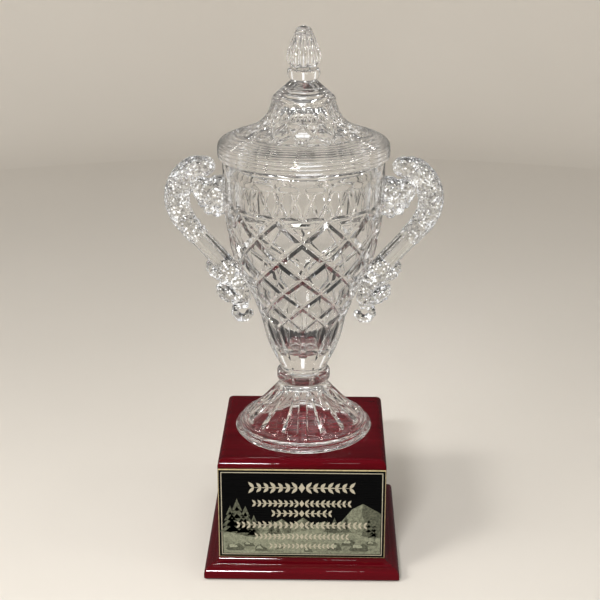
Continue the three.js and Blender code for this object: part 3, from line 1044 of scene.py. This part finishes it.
def stage_material():
    n = Nodes("pale_floor")
    colour = n.ramp(n.noise(2, Detail=3.0), [(0.3, (0.72, 0.68, 0.62, 1)), (0.7, (0.75, 0.71, 0.65, 1))])
    return n.surface(Base_Color=colour, Roughness=0.8)


CRYSTAL = crystal_material()
BEADED_PAINTED_GLINTS_AND_SHADE = beaded_painted_glints_and_shade()
LACQUER = lacquer_material("cherry_lacquer", (12, 160, 160), 0.85)
LACQUER_SIDE = lacquer_material("cherry_lacquer_side", (160, 12, 160), 0.85)
LACQUER_TOP = lacquer_material("cherry_lacquer_top", (12, 160, 160), 0.4)
FIBREBOARD = board_material()
FELT = felt_material()
FOAM = foam_material()
RESIN = resin_material()
ENAMEL = plate_material()
PALE_GOLD = gold_material("pale_gold", (0.38, 0.34, 0.25, 1), (0.60, 0.55, 0.42, 1), 0.0004)
PICTURE_GOLD = gold_material("picture_gold", (0.10, 0.105, 0.07, 1), (0.29, 0.30, 0.21, 1), 0.0022)
SHADED_GOLD = gold_material("shaded_gold", (0.05, 0.052, 0.035, 1), (0.15, 0.155, 0.105, 1), 0.0014)
MEADOW_GOLD = gold_material("meadow_gold", (0.22, 0.23, 0.16, 1), (0.43, 0.44, 0.32, 1), 0.0014)
BRIGHT_GOLD = gold_material("bright_gold", (0.40, 0.33, 0.17, 1), (0.60, 0.50, 0.28, 1), 0.003)
STAGE = stage_material()

# ---------------------------------------------------------------- stage, lights and camera, in metres
STAGE_SIDES = 96
TABLE_RADIUS = 0.37
SMALL_LAMP = 0.3  # only smaller lamps show up in the gloss and in the crystal
CARDS = 10  # in each row
# Rows of bright cards: distance, height, width and height of a card, share of a step turned, strength.
BRIGHT_CARDS = [(0.62, 0.68, 0.06, 0.04, 0.15, 18), (0.5, 1.3, 0.16, 0.16, 0.6, 5),
                (0.8, 0.42, 0.07, 0.3, 0.0, 1.2)]


def revolved(name, line, filled=False):
    """A surface turned about the vertical axis, for the stage. line lists (radius, height) in metres,
    and filled closes it with a disc at its first point."""
    vertices, faces = [], []
    for radius, height in line:
        for k in range(STAGE_SIDES):
            angle = 2 * math.pi * k / STAGE_SIDES
            vertices.append((radius * math.cos(angle), radius * math.sin(angle), height))
    for a in range(0, len(vertices) - STAGE_SIDES, STAGE_SIDES):
        b = a + STAGE_SIDES
        for k in range(STAGE_SIDES):
            k2 = (k + 1) % STAGE_SIDES
            faces.append((a + k, b + k, b + k2, a + k2))
    if filled:
        faces.append(tuple(range(STAGE_SIDES)))
    surface = new_object(name, np.array(vertices) / MM, faces, 60)
    return surface


def build_stage():
    """A round pale floor whose edge curves up into a low wall, open to a dim room above.
    The lacquer doesn't mirror either, as if the award stood on something dark in a large room."""
    flat, bend, top = 1.15, 0.35, 0.95
    floor = revolved("floor", [(0.3, 0), (flat, 0)], filled=True)
    wall = revolved("wall", arc((flat, bend), (bend, bend), -90, 0, 12) + [(flat + bend, top)])
    for surface in (floor, wall):
        surface.visible_glossy = False
        surface.data.materials.append(STAGE)


def only_crystal_sees(surface, material, mirrored=False):
    """Hide a surface of the stage from the camera, from shadows and from matt things. Only where it is
    mirrored do glossy ones show it."""
    surface.data.materials.append(material)
    surface.visible_camera = False
    surface.visible_diffuse = False
    surface.visible_shadow = False
    surface.visible_glossy = mirrored


def add_card(name, material, turn, distance, height, wide, tall, mirrored=False):
    """A card that faces the award, given the place of its middle."""
    angle = 2 * math.pi * turn
    centre = Vector((distance * math.sin(angle), -distance * math.cos(angle), height))
    side = Vector((math.cos(angle), math.sin(angle), 0)) * wide / 2
    up = side.cross(Vector((0, 0, 0.2)) - centre).normalized() * tall / 2
    corners = [centre - side - up, centre + side - up, centre + side + up, centre - side + up]
    card = new_object(name, np.array(corners) / MM, [(0, 1, 2, 3)])
    only_crystal_sees(card, material, mirrored)


def glowing(name, colour, strength):
    n = Nodes(name)
    return n.surface(Base_Color=(0, 0, 0, 1), Emission_Color=colour, Emission_Strength=strength)


def build_flags():
    """What only the crystal sees: a dark table top under the award and low black cards round it for
    its dark lines, a pale screen over the wall, and bright cards for its sparkle."""
    n = Nodes("black_card")
    flecks = n.ramp(n.noise(50), [(0.3, (0.02, 0.02, 0.02, 1)), (0.7, (0.04, 0.04, 0.04, 1))])
    black = n.surface(Base_Color=flecks, Roughness=1.0)
    table = revolved("dark_table", [(0.06, 0.002), (TABLE_RADIUS, 0.002)])
    only_crystal_sees(table, black)
    for i in range(CARDS):
        add_card(f"black_card_{i}", black, (i + 0.5) / CARDS, 0.62, 0.13, 0.035, 0.26)
    screen = revolved("pale_screen", [(1.5, 0.95), (1.5, 1.25), (0.8, 1.7)])
    only_crystal_sees(screen, glowing("pale_screen", (1.0, 0.97, 0.94, 1), 0.17))
    for row, (distance, height, wide, tall, shift, strength) in enumerate(BRIGHT_CARDS):
        bright = glowing(f"bright_card_{row}", (1.0, 0.99, 0.97, 1), strength)
        for i in range(CARDS):
            name = f"bright_card_{row}_{i}"
            add_card(name, bright, (i + shift) / CARDS, distance, height, wide, tall, row == 0)


def add_light(name, place, target, size, watts, colour):
    """A soft lamp that shines from its place to its target."""
    data = bpy.data.lights.new(name, "AREA")
    data.shape = "ELLIPSE"
    data.size, data.size_y = size
    data.energy = watts
    data.color = colour
    lamp = bpy.data.objects.new(name, data)
    lamp.location = place
    lamp.visible_glossy = size[0] < SMALL_LAMP
    lamp.visible_transmission = size[0] < SMALL_LAMP
    lamp.rotation_euler = (Vector(target) - Vector(place)).to_track_quat("-Z", "Y").to_euler()
    bpy.context.scene.collection.objects.link(lamp)


def build_camera():
    """A long lens above the lid, looking down on the award from its front."""
    data = bpy.data.cameras.new("camera")
    data.lens = 83.3
    data.sensor_width = 36
    camera = bpy.data.objects.new("camera", data)
    camera.location = (0.0163, -0.8695, 0.4777)
    camera.rotation_euler = (math.radians(70.79), 0, math.radians(1.23))
    bpy.context.scene.collection.objects.link(camera)
    bpy.context.scene.camera = camera


build_camera()
build_stage()
build_flags()
award_middle = (0, 0, 0.2)
add_light("window", (-1.05, -1.0, 1.05), award_middle, (0.5, 0.5), 18.5, (1.0, 0.98, 0.95))
add_light("ceiling", (0.25, -0.35, 1.9), (0, 0.5, 0.1), (0.9, 0.6), 7.5, (1.0, 0.97, 0.93))
add_light("flash", (-0.17, -0.97, 0.66), award_middle, (0.2, 0.06), 8.5, (1.0, 1.0, 1.0))
add_light("lamp_left", (-1.1, -0.6, 0.75), award_middle, (0.10, 0.14), 1.2, (1.0, 0.97, 0.92))
add_light("lamp_right", (1.15, -0.45, 0.8), award_middle, (0.10, 0.14), 1.4, (1.0, 0.97, 0.92))

world = bpy.data.worlds.new("room")
bpy.context.scene.world = world
world.use_nodes = True
background = world.node_tree.nodes["Background"]
background.inputs["Color"].default_value = (0.13, 0.129, 0.127, 1)
background.inputs["Strength"].default_value = 1.0

cycles = bpy.context.scene.cycles
cycles.max_bounces = 32
cycles.transmission_bounces = 32
cycles.glossy_bounces = 12
cycles.transparent_max_bounces = 16
cycles.sample_clamp_indirect = 12
bpy.context.scene.view_settings.view_transform = "Standard"

# ---------------------------------------------------------------- pieces
urn = finish_piece(build_urn(), "award", "cut_crystal", CRYSTAL, "crystal_foot", "stem_knop", "crystal_bowl")
lid = finish_piece(build_lid(), "lid", "cut_crystal", CRYSTAL, "lid_dome", "lid_finial")
right_handle, left_handle = build_handles()
finish_piece(right_handle, "award", "cut_crystal", BEADED_PAINTED_GLINTS_AND_SHADE, "handle_right")
finish_piece(left_handle, "award", "cut_crystal", BEADED_PAINTED_GLINTS_AND_SHADE, "handle_left")
for glass in (urn, lid, right_handle, left_handle):
    glass.visible_shadow = False

for quarter, side in enumerate(("front", "right", "back", "left")):
    lacquer = LACQUER_SIDE if quarter % 2 else LACQUER
    for part, section in (("panel", panel_section()), ("moulding", moulding_section())):
        strip = mitred_strip(f"base_{part}_{side}", section, quarter)
        finish_piece(strip, "award", "rosewood_lacquer", lacquer, f"{part}_{side}")
finish_piece(build_top_board(), "award", "rosewood_lacquer", LACQUER_TOP, "top_board")
finish_piece(build_felt(), "award", "felt", FELT, "felt_pad")
adhesive = finish_piece(build_adhesive(), "award", "clear_resin", RESIN, "foot_adhesive")
adhesive.visible_shadow = False

sheet, edge = build_plate()
finish_piece(sheet, "award", "nameplate_black", ENAMEL, "nameplate")
finish_piece(edge, "award", "nameplate_gold", BRIGHT_GOLD)
finish_piece(build_border(), "award", "nameplate_gold", PALE_GOLD)
far, shaded, near = hills()
dark_stones, light_stones = boulders()
rows = [shape for row in ROWS for shape in ornament_row(*row)]
for name, shapes, layer, gold in (("engraved_mountains", [far], 1, PICTURE_GOLD),
                                  ("engraved_shade", shaded, 1.5, SHADED_GOLD),
                                  ("engraved_meadow", [near], 2, PICTURE_GOLD),
                                  ("engraved_trees", trees(), 2.5, SHADED_GOLD),
                                  ("engraved_stones", dark_stones, 3.2, SHADED_GOLD),
                                  ("engraved_stone_tops", light_stones, 3.4, MEADOW_GOLD),
                                  ("engraved_ornament", rows, 4, PALE_GOLD)):
    finish_piece(build_inlay(name, shapes, layer * INLAY), "award", "nameplate_gold", gold)
finish_piece(build_furrows(), "award", "nameplate_gold", MEADOW_GOLD)

for node, material in (("bottom_board", FIBREBOARD), ("plate_tape", FOAM)):
    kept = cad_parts[node]
    kept.data.materials.clear()
    kept.data.materials.append(material)
